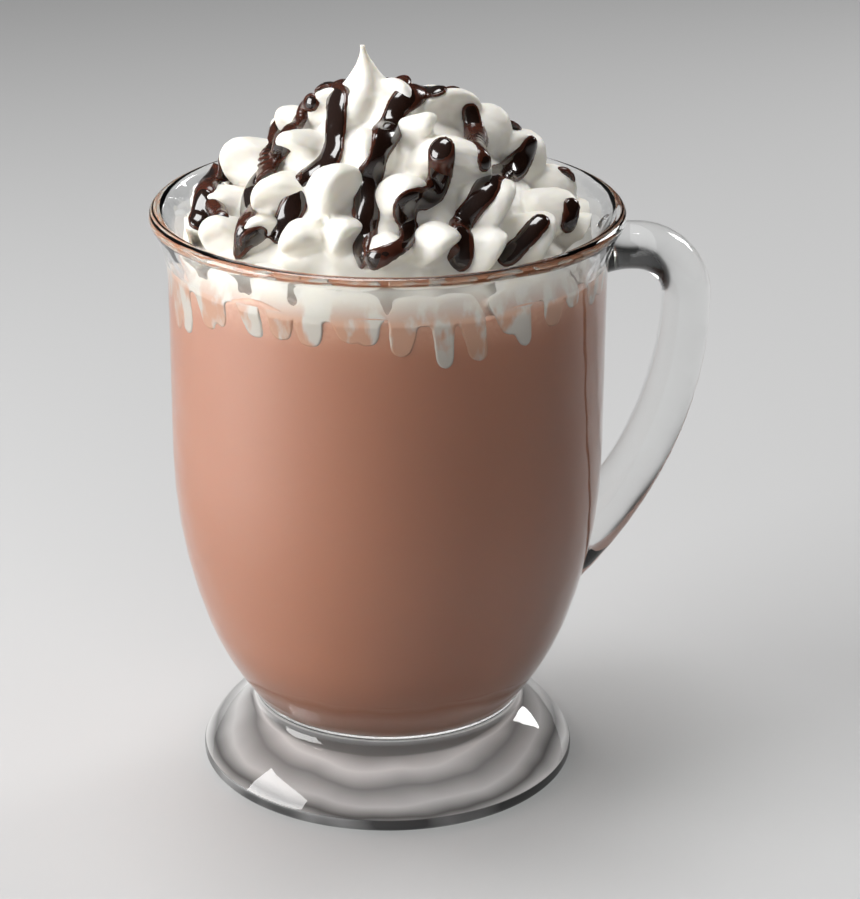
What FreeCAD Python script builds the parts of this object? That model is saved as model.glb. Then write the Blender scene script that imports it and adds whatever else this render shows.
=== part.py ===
"""Footed glass mug of hot chocolate, topped with a piped mound of whipped cream.

Three pieces, in millimetres, +Z up, origin on the mug's axis at the plane that it stands on:
  mug    pressed glass: domed foot, round bowl, flared rim and a side handle, in one piece
  drink  hot chocolate that fills the bowl up to its level
  cream  whipped cream, piped round and round into a ruffled mound with a pulled tip
"""

import FreeCAD, Part
import math
import os

import Sketcher

# Driving dimensions: alias, value, meaning. Each one can be changed by itself.
SIZES = [
    ("rim_height", 122.0, "top of the rim above the table"),
    ("body_radius", 44.5, "outside radius of the straight part of the bowl"),
    ("rim_spread", 3.5, "how far the rim stands out past the straight part"),
    ("wall", 3.1, "glass thickness of the bowl's side and rim"),
    ("flare", 26.0, "radius of the curve that turns the wall out to the rim"),
    ("bowl_height", 70.0, "height where the straight part starts"),
    ("bowl_curve", 110.0, "profile radius of the bowl below the straight part"),
    ("base_curve", 60.0, "profile radius of the bowl's tighter lower part"),
    ("base_height", 34.0, "height where the two bowl curves meet"),
    ("floor_height", 16.5, "inside floor above the table"),
    ("neck_radius", 28.3, "narrowest radius, between bowl and foot"),
    ("neck_cove", 3.0, "profile radius of the groove at the neck"),
    ("foot_radius", 39.5, "outside radius of the foot"),
    ("foot_dome", 30.0, "profile radius of the foot's top"),
    ("foot_edge", 2.0, "rounding of the foot's upper edge"),
    ("foot_lift", 1.8, "height where the foot's upper edge rounding starts"),
    ("foot_arris", 1.2, "rounding of the foot's lower edge"),
    ("foot_ring", 8.5, "width of the ring that the foot stands on"),
    ("recess_depth", 2.5, "depth of the hollow under the foot"),
    ("handle_drop", 8.7, "rim top down to the centre line of the handle's upper root"),
    ("handle_reach", 16.3, "from the bowl's side out to the furthest point of that centre line"),
    ("handle_bend", 10.5, "centre line radius of the upper bend"),
    ("handle_root", 44.0, "height of the centre line's lower end"),
    ("handle_bite", 9.4, "how far in from the bowl's side that lower end is"),
    ("handle_depth", 9.2, "thickness at the upper root, in the handle's plane"),
    ("handle_depth_low", 11.8, "thickness at the lower root"),
    ("handle_width", 13.0, "width across the handle's plane"),
    ("root_round", 1.5, "rounding where the handle meets the wall"),
    ("headspace", 18.0, "rim top down to the level of the drink"),
    ("cream_gap", 0.3, "clearance of the cream's ruffles from the glass"),
    ("cream_shoulder", 6.0, "rim top down to where the cream leaves the wall"),
    ("cream_rise", 32.5, "tip of the mound above the rim"),
    ("cream_turns", 3.0, "times that the piped rope goes round"),
    ("rope_bulge", 7.0, "how far each turn of the rope stands out"),
    ("ruffles", 13.0, "ruffles in one turn"),
    ("ruffle_depth", 5.0, "depth of the grooves between the ruffles"),
    ("tip_lean", 5.0, "how far the tip leans away from the handle"),
]

# The mound's outline between the wall and the tip: shares of the shoulder's radius and of its rise.
MOUND = [(0.97, 0.16), (0.86, 0.34), (0.70, 0.53), (0.50, 0.70), (0.30, 0.80), (0.15, 0.88), (0.05, 0.95)]
SPOKES = 78
ROWS = 30
SLANT = 2.2

WHOLE_TURN = 2 * math.pi
TOUCH = 1e-3


def fill_sheet(doc):
    """The spreadsheet that holds every driving dimension."""
    sheet = doc.addObject("Spreadsheet::Sheet", "sizes")
    for row, (alias, value, meaning) in enumerate(SIZES, start=1):
        sheet.set(f"A{row}", meaning)
        sheet.set(f"B{row}", str(value))
        sheet.setAlias(f"B{row}", alias)
    doc.recompute()
    return sheet


def bound(text):
    """An expression whose names are aliases of the sheet."""
    for alias in sorted((name for name, _, _ in SIZES), key=len, reverse=True):
        text = text.replace(f"<{alias}>", f"sizes.{alias}")
    return text


class Outline:
    """A sketch of arcs and lines on one of a body's origin planes, with sizes tied to the sheet."""

    def __init__(self, body, name, plane="XZ_Plane"):
        self.sketch = body.newObject("Sketcher::SketchObject", name)
        support = next(f for f in body.Origin.OriginFeatures if f.Role == plane)
        self.sketch.AttachmentSupport = [(support, "")]
        self.sketch.MapMode = "FlatFace"

    def line(self, start, end):
        return self.sketch.addGeometry(Part.LineSegment(vector(start), vector(end)), False)

    def arc(self, centre, radius, start, end):
        """An arc about centre, drawn counter-clockwise from one angle to the other, in degrees."""
        circle = Part.Circle(vector(centre), FreeCAD.Vector(0, 0, 1), radius)
        return self.sketch.addGeometry(
            Part.ArcOfCircle(circle, math.radians(start), math.radians(end)), False
        )

    def tie(self, kind, *where):
        return self.sketch.addConstraint(Sketcher.Constraint(kind, *where))

    def size(self, kind, where, name, text):
        """A dimension named name, bound to an expression of the sheet."""
        first_guess = abs(evaluate(self.sketch, bound(text)))
        index = self.tie(kind, *where, first_guess)
        self.sketch.renameConstraint(index, name)
        self.sketch.setExpression(f"Constraints.{name}", bound(text))

    def place(self, geometry, point, name, across=None, up=None):
        """Fixes a point's distance from the axis and its height. None leaves that one free, "" puts it on the axis."""
        if across == "":
            self.tie("PointOnObject", geometry, point, -2)
        elif across:
            self.size("DistanceX", (-1, 1, geometry, point), f"{name}_across", across)
        if up == "":
            self.tie("PointOnObject", geometry, point, -1)
        elif up:
            self.size("DistanceY", (-1, 1, geometry, point), f"{name}_up", up)


START, END, CENTRE = 1, 2, 3


def vector(pair):
    return FreeCAD.Vector(pair[0], pair[1], 0)


def evaluate(sketch, text):
    """The number that an expression stands for."""
    return float(sketch.evalExpression(text))


def reading(sheet):
    """A function that reads one alias of the sheet."""
    return lambda alias: float(sheet.get(alias))


# The rim's rounding touches both faces of the flared wall. RIM_LEAN and RIM_RISE are the cosine and the
# sine of the angle that the flare turns through on its way up to it.
RIM_LEAN = "((<flare> - <rim_spread> + <wall> / 2) / (<flare> + <wall> / 2))"
RIM_RISE = f"sqrt(1 - {RIM_LEAN} * {RIM_LEAN})"


# Sine of the slope where the bowl's two curves meet.
JOIN_SINE = "(<bowl_height> - <base_height>) / <bowl_curve>"

LEVEL = "<rim_height> - <headspace>"


def numbers(sheet):
    """The few worked-out places that first guesses of the sketches need."""
    read = reading(sheet)
    half = read("wall") / 2
    reach = read("flare") + half
    lean = (read("flare") - read("rim_spread") + half) / reach
    rise = math.sqrt(1 - lean * lean)
    flare_start = read("rim_height") - half - reach * rise
    lip = (
        read("body_radius") + read("flare") - (read("flare") + read("wall")) * lean,
        read("rim_height") - half + half * rise,
    )
    return {
        "flare_start": flare_start,
        "lip": lip,
        "lean": lean,
        "rise": rise,
        "flare_angle": math.degrees(math.acos(lean)),
    }


def bowl_join(read, inset):
    """The lower end of the bowl's upper curve, inset from the outside by a thickness, and its slope."""
    centre = read("body_radius") - read("bowl_curve")
    fall = read("bowl_height") - read("base_height")
    angle = math.asin(fall / read("bowl_curve"))
    radius = read("bowl_curve") - inset
    return (centre + radius * math.cos(angle), read("bowl_height") - radius * math.sin(angle)), angle


def glass_outline(body, sheet):
    """The glass without its handle: hollow foot, bowl, rounded rim, and the room inside down to its floor."""
    read = reading(sheet)
    known = numbers(sheet)
    draw = Outline(body, "outline")
    join, angle = bowl_join(read, 0)
    lip, flare_start = known["lip"], known["flare_start"]
    rim_centre = (
        read("body_radius") + read("rim_spread") - read("wall") / 2,
        read("rim_height") - read("wall") / 2,
    )
    flare_centre = (read("body_radius") + read("flare"), flare_start)
    bowl_centre = (read("body_radius") - read("bowl_curve"), read("bowl_height"))
    slope = math.degrees(angle)
    base_centre = (
        join[0] - read("base_curve") * math.cos(angle),
        join[1] + read("base_curve") * math.sin(angle),
    )
    cove_reach = read("base_curve") + read("neck_cove")
    cove_x = read("neck_radius") + read("neck_cove")
    cove_fall = math.sqrt(cove_reach**2 - (cove_x - base_centre[0]) ** 2)
    cove_centre = (cove_x, base_centre[1] - cove_fall)
    cove_angle = math.degrees(math.atan2(cove_fall, cove_x - base_centre[0]))
    edge_centre = (read("foot_radius") - read("foot_edge"), read("foot_lift"))
    dome_centre = meeting_point(
        edge_centre,
        read("foot_dome") - read("foot_edge"),
        cove_centre,
        read("foot_dome") + read("neck_cove"),
    )
    edge_angle = bearing(dome_centre, edge_centre)
    dome_angle = bearing(dome_centre, cove_centre)
    recess, hollow = read("foot_radius") - read("foot_ring"), read("recess_depth")
    hollow_curve = (recess**2 + hollow**2) / (2 * hollow)
    hollow_angle = math.degrees(math.asin(recess / hollow_curve))
    arris = read("foot_arris")

    axis = draw.line((0, read("floor_height")), (0, hollow))
    under = draw.arc((0, hollow - hollow_curve), hollow_curve, 90 - hollow_angle, 90)
    ring = draw.line((recess, 0), (read("foot_radius") - arris, 0))
    low_edge = draw.arc((read("foot_radius") - arris, arris), arris, -90, 0)
    side = draw.line((read("foot_radius"), arris), (read("foot_radius"), read("foot_lift")))
    top_edge = draw.arc(edge_centre, read("foot_edge"), 0, edge_angle)
    dome = draw.arc(dome_centre, read("foot_dome"), edge_angle, dome_angle)
    cove = draw.arc(cove_centre, read("neck_cove"), 180 - cove_angle, 180 + dome_angle)
    base = draw.arc(base_centre, read("base_curve"), -cove_angle, -slope)
    bowl = draw.arc(bowl_centre, read("bowl_curve"), -slope, 0)
    straight = draw.line((read("body_radius"), read("bowl_height")), (read("body_radius"), flare_start))
    flare = draw.arc(flare_centre, read("flare"), 180 - known["flare_angle"], 180)
    rim = draw.arc(rim_centre, read("wall") / 2, -known["flare_angle"], 180 - known["flare_angle"])
    inside = draw_room(draw, sheet, read("wall"))

    draw.tie("Coincident", axis, END, under, END)
    draw.tie("Coincident", under, START, ring, START)
    draw.tie("Tangent", ring, END, low_edge, START)
    draw.tie("Tangent", low_edge, END, side, START)
    draw.tie("Tangent", side, END, top_edge, START)
    draw.tie("Tangent", top_edge, END, dome, START)
    draw.tie("Tangent", dome, END, cove, END)
    draw.tie("Tangent", cove, START, base, START)
    draw.tie("Tangent", base, END, bowl, START)
    draw.tie("Tangent", bowl, END, straight, START)
    draw.tie("Tangent", straight, END, flare, END)
    draw.tie("Tangent", flare, START, rim, START)
    draw.tie("Tangent", rim, END, inside["flare"], START)
    draw.tie("Coincident", inside["flat"], START, axis, START)
    draw.tie("Horizontal", ring)
    draw.tie("Vertical", side)
    draw.tie("Vertical", straight)

    draw.place(under, CENTRE, "hollow_centre", across="")
    draw.place(under, END, "hollow_top", across="", up="<recess_depth>")
    draw.place(ring, START, "hollow_rim", across="<foot_radius> - <foot_ring>", up="")
    draw.place(side, START, "foot_side", across="<foot_radius>")
    draw.place(top_edge, CENTRE, "foot_shoulder", up="<foot_lift>")
    draw.place(cove, CENTRE, "neck", across="<neck_radius> + <neck_cove>")
    draw.place(bowl, START, "join", up=f"<bowl_height> - <bowl_curve> * ({JOIN_SINE})")
    draw.place(straight, START, "widest", across="<body_radius>", up="<bowl_height>")
    draw.place(
        rim, CENTRE, "rim_centre", "<body_radius> + <rim_spread> - <wall> / 2", "<rim_height> - <wall> / 2"
    )
    for geometry, name, text in (
        (low_edge, "low_edge_radius", "<foot_arris>"),
        (top_edge, "top_edge_radius", "<foot_edge>"),
        (dome, "dome_radius", "<foot_dome>"),
        (cove, "cove_radius", "<neck_cove>"),
        (base, "base_radius", "<base_curve>"),
        (bowl, "bowl_radius", "<bowl_curve>"),
        (flare, "flare_radius", "<flare>"),
        (rim, "rim_radius", "<wall> / 2"),
    ):
        draw.size("Radius", (geometry,), name, text)
    return draw.sketch


def meeting_point(first, first_reach, second, second_reach):
    """The point at those distances from two others, on the side nearer to the axis and the table."""
    gap = math.dist(first, second)
    along = (first_reach**2 - second_reach**2 + gap**2) / (2 * gap)
    aside = math.sqrt(first_reach**2 - along**2)
    unit = ((second[0] - first[0]) / gap, (second[1] - first[1]) / gap)
    return (
        first[0] + along * unit[0] - aside * unit[1],
        first[1] + along * unit[1] + aside * unit[0],
    )


def bearing(start, end):
    """The direction from one point to another, in degrees."""
    return math.degrees(math.atan2(end[1] - start[1], end[0] - start[0]))


def draw_room(draw, sheet, inset, named="<wall>"):
    """Lines and arcs of the bowl's side and floor, inset from its outside. named is the inset's expression."""
    read = reading(sheet)
    known = numbers(sheet)
    floor = read("floor_height")
    join, angle = bowl_join(read, inset)
    curve = read("bowl_curve") - inset
    slope = math.degrees(angle)
    bottom_round = (join[1] - floor) / (1 - math.sin(angle))
    turn = (join[0] - bottom_round * math.cos(angle), floor + bottom_round)
    side = read("body_radius") - inset
    flare_centre = (read("body_radius") + read("flare"), known["flare_start"])

    flat = draw.line((0, floor), (turn[0], floor))
    corner = draw.arc(turn, bottom_round, -90, -slope)
    bowl = draw.arc((side - curve, read("bowl_height")), curve, -slope, 0)
    straight = draw.line((side, read("bowl_height")), (side, flare_centre[1]))
    flare = draw.arc(flare_centre, read("flare") + inset, 180 - known["flare_angle"], 180)
    draw.tie("Tangent", flat, END, corner, START)
    draw.tie("Tangent", corner, END, bowl, START)
    draw.tie("Tangent", bowl, END, straight, START)
    draw.tie("Tangent", straight, END, flare, END)
    draw.tie("Horizontal", flat)
    draw.tie("Vertical", straight)
    draw.place(flat, START, "floor", across="", up="<floor_height>")
    draw.place(bowl, START, "room_join", up=f"<bowl_height> - (<bowl_curve> - {named}) * ({JOIN_SINE})")
    draw.place(straight, START, "room_side", across=f"<body_radius> - {named}", up="<bowl_height>")
    draw.size("Radius", (bowl,), "room_bowl_radius", f"<bowl_curve> - {named}")
    draw.size("Radius", (flare,), "room_flare_radius", f"<flare> + {named}")
    return {"flat": flat, "flare": flare}


def room_outline(body, sheet, name, inset, named):
    """The room inside the bowl, from its floor up to the rim, closed along the axis."""
    known = numbers(sheet)
    read = reading(sheet)
    draw = Outline(body, name)
    reach = read("flare") + inset
    top = (
        read("body_radius") + read("flare") - reach * known["lean"],
        known["flare_start"] + reach * known["rise"],
    )
    room = draw_room(draw, sheet, inset, named)
    lid = draw.line(top, (0, top[1]))
    axis = draw.line((0, top[1]), (0, read("floor_height")))
    draw.tie("Coincident", room["flare"], START, lid, START)
    draw.tie("Coincident", lid, END, axis, START)
    draw.tie("Coincident", axis, END, room["flat"], START)
    draw.tie("Horizontal", lid)
    draw.place(lid, END, "lid", across="", up=f"<rim_height> - <wall> / 2 + ({named} - <wall> / 2) * {RIM_RISE}")
    draw.place(room["flare"], START, "top", across=f"<body_radius> + <flare> - (<flare> + {named}) * {RIM_LEAN}")
    return draw.sketch


def above_level(body):
    """Half of the space from the drink's level up past the rim, closed along the axis."""
    draw = Outline(body, "above_level")
    level, top, side = (
        evaluate(draw.sketch, bound(text)) for text in (LEVEL, "<rim_height>", "<body_radius> + <rim_spread>")
    )
    corners = [(0, level), (side, level), (side, top), (0, top)]
    edges = [draw.line(start, end) for start, end in zip(corners, corners[1:] + corners[:1])]
    for before, after in zip(edges, edges[1:] + edges[:1]):
        draw.tie("Coincident", before, END, after, START)
    draw.tie("Horizontal", edges[0])
    draw.tie("Vertical", edges[1])
    draw.tie("Horizontal", edges[2])
    draw.place(edges[0], START, "level", across="", up=LEVEL)
    draw.place(edges[2], START, "top", across="<body_radius> + <rim_spread>", up="<rim_height>")
    draw.place(edges[3], START, "axis_top", across="")
    return draw.sketch


def turned(body, kind, name, sketch):
    """A Revolution or Groove of a sketch about the mug's axis."""
    feature = body.newObject(f"PartDesign::{kind}", name)
    feature.Profile = sketch
    feature.ReferenceAxis = (sketch, ["V_Axis"])
    feature.Angle = 360.0
    return feature


# The handle's centre line: out from the wall, round a bend, then one long curve back into the wall.
# HANDLE_IN and HANDLE_FALL are how far that curve goes inwards and down.
HANDLE_TOP = "(<rim_height> - <handle_drop>)"
HANDLE_OUT = "(<body_radius> + <handle_reach>)"
HANDLE_IN = "(<handle_reach> + <handle_bite>)"
HANDLE_FALL = f"({HANDLE_TOP} - <handle_bend> - <handle_root>)"
HANDLE_TURN = f"(2 * atan({HANDLE_IN} / {HANDLE_FALL}))"
HANDLE_START = "(<body_radius> - <wall> / 2)"
HANDLE_END = "(<body_radius> - <handle_bite>)"


def handle_path(body):
    """The handle's centre line, from inside the upper wall round to inside the lower wall."""
    draw = Outline(body, "handle_path")
    start, out, top, inwards, fall, turn, bend = (
        evaluate(draw.sketch, bound(text))
        for text in (
            HANDLE_START,
            HANDLE_OUT,
            HANDLE_TOP,
            HANDLE_IN,
            HANDLE_FALL,
            HANDLE_TURN,
            "<handle_bend>",
        )
    )
    curve = (inwards**2 + fall**2) / (2 * inwards)
    root = draw.line((start, top), (out - bend, top))
    elbow = draw.arc((out - bend, top - bend), bend, 0, 90)
    sweep = draw.arc((out - curve, top - bend), curve, -turn, 0)
    draw.tie("Tangent", root, END, elbow, END)
    draw.tie("Tangent", elbow, START, sweep, END)
    draw.tie("Horizontal", root)
    draw.size("Radius", (elbow,), "bend_radius", "<handle_bend>")
    draw.place(root, START, "root", across=HANDLE_START, up=HANDLE_TOP)
    draw.place(elbow, START, "furthest", across=HANDLE_OUT, up=f"{HANDLE_TOP} - <handle_bend>")
    draw.place(sweep, START, "end", across=HANDLE_END, up="<handle_root>")
    return draw.sketch


def handle_section(body, name, across, up, turn, depth):
    """An oval across the handle's centre line, at one end of it and turned square to it there."""
    draw = Outline(body, name, "YZ_Plane")
    sketch = draw.sketch
    half_width = evaluate(sketch, bound("<handle_width> / 2"))
    half_depth = evaluate(sketch, bound(f"{depth} / 2"))
    oval = Part.Ellipse(vector((half_width, 0)), vector((0, half_depth)), vector((0, 0)))
    edge = sketch.addGeometry(oval, False)
    sketch.exposeInternalGeometry(edge)
    long_axis, short_axis = edge + 1, edge + 2
    draw.tie("Coincident", edge, CENTRE, -1, START)
    draw.tie("Horizontal", long_axis)
    draw.size("Distance", (long_axis,), "width", "<handle_width>")
    draw.size("Distance", (short_axis,), "depth", depth)
    sketch.AttachmentOffset = FreeCAD.Placement(vector((0, 0)), FreeCAD.Rotation(vector((1, 0)), 1))
    sketch.setExpression("AttachmentOffset.Base.y", bound(up))
    sketch.setExpression("AttachmentOffset.Base.z", bound(across))
    sketch.setExpression("AttachmentOffset.Rotation.Angle", bound(turn))
    return sketch


def root_edges(handle, glass):
    """Names of the edges where the handle leaves the wall: those on its skin that aren't its own."""
    names = []
    for number, edge in enumerate(glass.Edges, start=1):
        span = edge.LastParameter - edge.FirstParameter
        spots = [Part.Vertex(edge.valueAt(edge.FirstParameter + span * share)) for share in (0.3, 0.5, 0.8)]
        on_skin = all(min(face.distToShape(spot)[0] for face in handle.Faces) < TOUCH for spot in spots)
        own = any(all(old.distToShape(spot)[0] < TOUCH for spot in spots) for old in handle.Edges)
        if on_skin and not own:
            names.append(f"Edge{number}")
    return names


def make_mug(doc, sheet):
    """The glass: the handle first, its ends cut to the middle of the wall, then the turned glass and the blends."""
    read = reading(sheet)
    body = doc.addObject("PartDesign::Body", "mug")
    body.Label = "mug"
    path = handle_path(body)
    upper = handle_section(body, "upper_section", HANDLE_START, HANDLE_TOP, "0deg", "<handle_depth>")
    lower = handle_section(
        body, "lower_section", HANDLE_END, "<handle_root>", f"90deg + {HANDLE_TURN}", "<handle_depth_low>"
    )
    doc.recompute()
    handle = body.newObject("PartDesign::AdditivePipe", "handle")
    handle.Profile = upper
    handle.Spine = path
    handle.Sections = [lower]
    handle.Transformation = "Multisection"
    doc.recompute()
    turned(body, "Groove", "handle_ends", room_outline(body, sheet, "mid_wall", read("wall") / 2, "<wall> / 2"))
    doc.recompute()
    glass = turned(body, "Revolution", "glass", glass_outline(body, sheet))
    doc.recompute()
    roots = body.newObject("PartDesign::Fillet", "handle_roots")
    roots.Base = (glass, root_edges(handle.Shape, glass.Shape))
    roots.Radius = read("root_round")
    roots.setExpression("Radius", bound("<root_round>"))
    doc.recompute()
    return body


def make_drink(doc, sheet):
    """The drink: the same room inside the bowl, up to its level."""
    body = doc.addObject("PartDesign::Body", "drink")
    body.Label = "drink"
    outline = room_outline(body, sheet, "filling_outline", reading(sheet)("wall"), "<wall>")
    turned(body, "Revolution", "filling", outline)
    doc.recompute()
    turned(body, "Groove", "headroom", above_level(body))
    doc.recompute()
    return body


def mound_outline(read, level):
    """Radius and height up the mound's side as rows from the drink's surface to the tip, without ruffles."""
    wall_radius = read("body_radius") - read("wall") - read("cream_gap")
    shoulder = read("rim_height") - read("cream_shoulder")
    tip = read("rim_height") + read("cream_rise")
    rows = [(wall_radius, level), (wall_radius, (level + shoulder) / 2), (wall_radius, shoulder)]
    rows += [(wall_radius * across, shoulder + (tip - shoulder) * up) for across, up in MOUND]
    return rows + [(0.0, tip)]


def spread(rows, steps):
    """Evenly spaced points along a polyline, with their outward directions."""
    lengths = [0.0]
    for before, after in zip(rows, rows[1:]):
        lengths.append(lengths[-1] + math.dist(before, after))
    points = []
    for step in range(steps + 1):
        target = lengths[-1] * step / steps
        index = max(i for i, length in enumerate(lengths[:-1]) if length <= target + 1e-9)
        share = (target - lengths[index]) / (lengths[index + 1] - lengths[index])
        points.append([a + (b - a) * share for a, b in zip(rows[index], rows[index + 1])])
    outward = []
    for step in range(steps + 1):
        before, after = points[max(step - 1, 0)], points[min(step + 1, steps)]
        run = math.dist(before, after)
        outward.append(((after[1] - before[1]) / run, (before[0] - after[0]) / run))
    return list(zip(points, outward))


def cream_rows(read, level):
    """Control points of the mound's side: a rope wound round the mound, with slanted ruffles along it."""
    turns, ruffles = read("cream_turns"), round(read("ruffles"))
    wall_radius = read("body_radius") - read("wall") - read("cream_gap")
    rows = []
    for step, ((radius, height), (out, up)) in enumerate(spread(mound_outline(read, level), ROWS)):
        rise = step / ROWS
        fade = min(1.0, 4 * (1 - rise)) * min(1.0, 6 * rise + 0.35)
        ring = []
        for spoke in range(SPOKES):
            turn = spoke / SPOKES
            rope = abs(math.sin(math.pi * (turns * rise + turn)))
            ruffle = abs(math.cos(math.pi * (ruffles * turn + SLANT * turns * rise)))
            stand = read("rope_bulge") * (rope - 0.6) + read("ruffle_depth") * (ruffle - 0.75)
            across = min(max(radius + fade * stand * out, 0.0), wall_radius)
            lift = fade * stand * up if step else 0.0
            angle = WHOLE_TURN * turn
            lean = -read("tip_lean") * rise**3
            ring.append(
                FreeCAD.Vector(
                    across * math.cos(angle) + lean,
                    across * math.sin(angle),
                    max(height + lift, level),
                )
            )
        rows.append(ring)
    tip = FreeCAD.Vector(-read("tip_lean"), 0, read("rim_height") + read("cream_rise"))
    rows[-1] = [tip] * SPOKES
    return rows


def make_cream(doc, sheet):
    """The whipped cream: one smooth ruffled face, closed by a flat one on the drink."""
    read = reading(sheet)
    level = read("rim_height") - read("headspace")
    rows = cream_rows(read, level)
    around, degree = len(rows[0]), 3
    poles = [list(column) for column in zip(*rows)]
    spans = len(rows) - degree
    surface = Part.BSplineSurface()
    surface.buildFromPolesMultsKnots(
        poles,
        [1] * (around + 1),
        [degree + 1] + [1] * (spans - 1) + [degree + 1],
        list(range(around + 1)),
        list(range(spans + 1)),
        True,
        False,
        degree,
        degree,
    )
    side = surface.toShape()
    edge = next(e for e in side.Edges if e.isClosed() and e.BoundBox.ZLength < 1e-6 and e.Length > 1)
    bottom = Part.Face(Part.Wire([edge]))
    shell = Part.makeShell([side, bottom])
    shell.sewShape()
    solid = Part.makeSolid(Part.makeShell(shell.Faces))
    if solid.Volume < 0:
        solid.reverse()
    piece = doc.addObject("Part::Feature", "cream")
    piece.Label = "cream"
    piece.Shape = solid
    piece.Placement = FreeCAD.Placement()
    return piece


def check(doc, pieces):
    """Stops the build if any object failed or any piece isn't a valid closed solid."""
    for item in doc.Objects:
        if "Invalid" in item.State or "Error" in item.State:
            raise RuntimeError(f"{item.Label} failed: {item.State}")
    for piece in pieces:
        shape = piece.Shape
        if shape.isNull() or not shape.isValid() or shape.Volume <= 0 or len(shape.Solids) != 1:
            raise RuntimeError(f"{piece.Label} is not one valid solid")


def main():
    doc = FreeCAD.newDocument("hot_chocolate")
    sheet = fill_sheet(doc)
    pieces = [make_mug(doc, sheet), make_drink(doc, sheet), make_cream(doc, sheet)]
    doc.recompute()
    check(doc, pieces)
    os.makedirs("parts", exist_ok=True)
    for piece in pieces:
        piece.Shape.exportStep(f"parts/{piece.Label}.step")
        box = piece.Shape.BoundBox
        print(
            f"{piece.Label}: {piece.Shape.Volume / 1000:.1f} ml,"
            f" x {box.XMin:.1f}..{box.XMax:.1f}, y {box.YMin:.1f}..{box.YMax:.1f}, z {box.ZMin:.1f}..{box.ZMax:.1f}"
        )


main()
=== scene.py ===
"""Looks of a footed glass mug of hot chocolate, topped with piped whipped cream and chocolate sauce.

The glass and the drink are turned from the same outline as their solids. The cream is piped: overlapping
folds in tiers, joined into one skin. The sauce is drizzled onto that skin along a few chosen lines.
Lengths are in millimetres, and become metres when a mesh is made. The stage is in metres.
"""

import math
import random

import bpy
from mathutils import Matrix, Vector, noise
from mathutils.bvhtree import BVHTree


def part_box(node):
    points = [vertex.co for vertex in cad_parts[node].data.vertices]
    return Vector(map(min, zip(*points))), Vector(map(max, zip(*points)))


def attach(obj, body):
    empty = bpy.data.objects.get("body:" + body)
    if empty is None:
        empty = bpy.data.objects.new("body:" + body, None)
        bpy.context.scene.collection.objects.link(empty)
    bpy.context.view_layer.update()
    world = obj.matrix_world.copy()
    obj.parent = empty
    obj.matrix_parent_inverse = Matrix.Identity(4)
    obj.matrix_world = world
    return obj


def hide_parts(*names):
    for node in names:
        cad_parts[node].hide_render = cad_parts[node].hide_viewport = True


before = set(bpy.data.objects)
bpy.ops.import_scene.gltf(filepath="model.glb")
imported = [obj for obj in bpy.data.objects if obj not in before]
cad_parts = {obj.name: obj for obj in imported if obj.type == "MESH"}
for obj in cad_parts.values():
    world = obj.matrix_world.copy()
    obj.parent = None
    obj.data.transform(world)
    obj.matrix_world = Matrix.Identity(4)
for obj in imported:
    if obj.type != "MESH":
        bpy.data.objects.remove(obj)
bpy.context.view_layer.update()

MM = 0.001
BODY = "root"

# Sizes read from the frame
mug_low, mug_high = (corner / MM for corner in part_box("mug"))
drink_low, drink_high = (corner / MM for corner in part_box("drink"))
_, cream_high = (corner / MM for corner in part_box("cream"))
RIM_HEIGHT = mug_high.z
RIM_RADIUS = -mug_low.x
INNER_RADIUS = drink_high.x
FLOOR = drink_low.z
LEVEL = drink_high.z
TIP_HEIGHT = cream_high.z

# Sizes of the glass
WALL = 3.1
BODY_RADIUS = INNER_RADIUS + WALL
FLARE = 26.0
BOWL_HEIGHT = 70.0
BOWL_CURVE = 110.0
BASE_CURVE = 60.0
BASE_HEIGHT = 34.0
NECK_RADIUS = 28.3
NECK_COVE = 3.0
FOOT_RADIUS = 39.5
FOOT_DOME = 30.0
FOOT_EDGE = 2.0
FOOT_LIFT = 1.8
FOOT_ARRIS = 1.2
FOOT_RING = 8.5
RECESS_DEPTH = 2.5
HANDLE_DROP = 8.7
HANDLE_REACH = 16.3
HANDLE_BEND = 10.5
HANDLE_ROOT = 44.0
HANDLE_BITE = 9.4
HANDLE_WIDTH = 13.0
HANDLE_DEPTH = 9.2
HANDLE_DEPTH_LOW = 11.8

# How far the contents reach into the wall, so that no air shows behind the glass
DRINK_REACH = 0.35
CREAM_REACH = 0.55
# How far the sauce keeps off the wall
SAUCE_GAP = 0.2

TURNED_SIDES = 256
ARC_STEP = math.radians(4)
UP = Vector((0, 0, 1))


# ---------------------------------------------------------------- meshes


def arc(centre, radius, start, end):
    """Points along an arc, from one angle to the other."""
    count = max(2, math.ceil(abs(end - start) / ARC_STEP))
    angles = [start + (end - start) * i / count for i in range(count + 1)]
    return [(centre[0] + radius * math.cos(a), centre[1] + radius * math.sin(a)) for a in angles]


def bearing(start, end):
    """The angle of the way from one point to another."""
    return math.atan2(end[1] - start[1], end[0] - start[0])


def make_object(name, points, faces):
    """An object whose smooth mesh has these points, given in millimetres."""
    mesh = bpy.data.meshes.new(name)
    mesh.from_pydata([tuple(c * MM for c in p) for p in points], [], faces)
    mesh.validate()
    mesh.polygons.foreach_set("use_smooth", [True] * len(mesh.polygons))
    thing = bpy.data.objects.new(name, mesh)
    bpy.context.scene.collection.objects.link(thing)
    return thing


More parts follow.
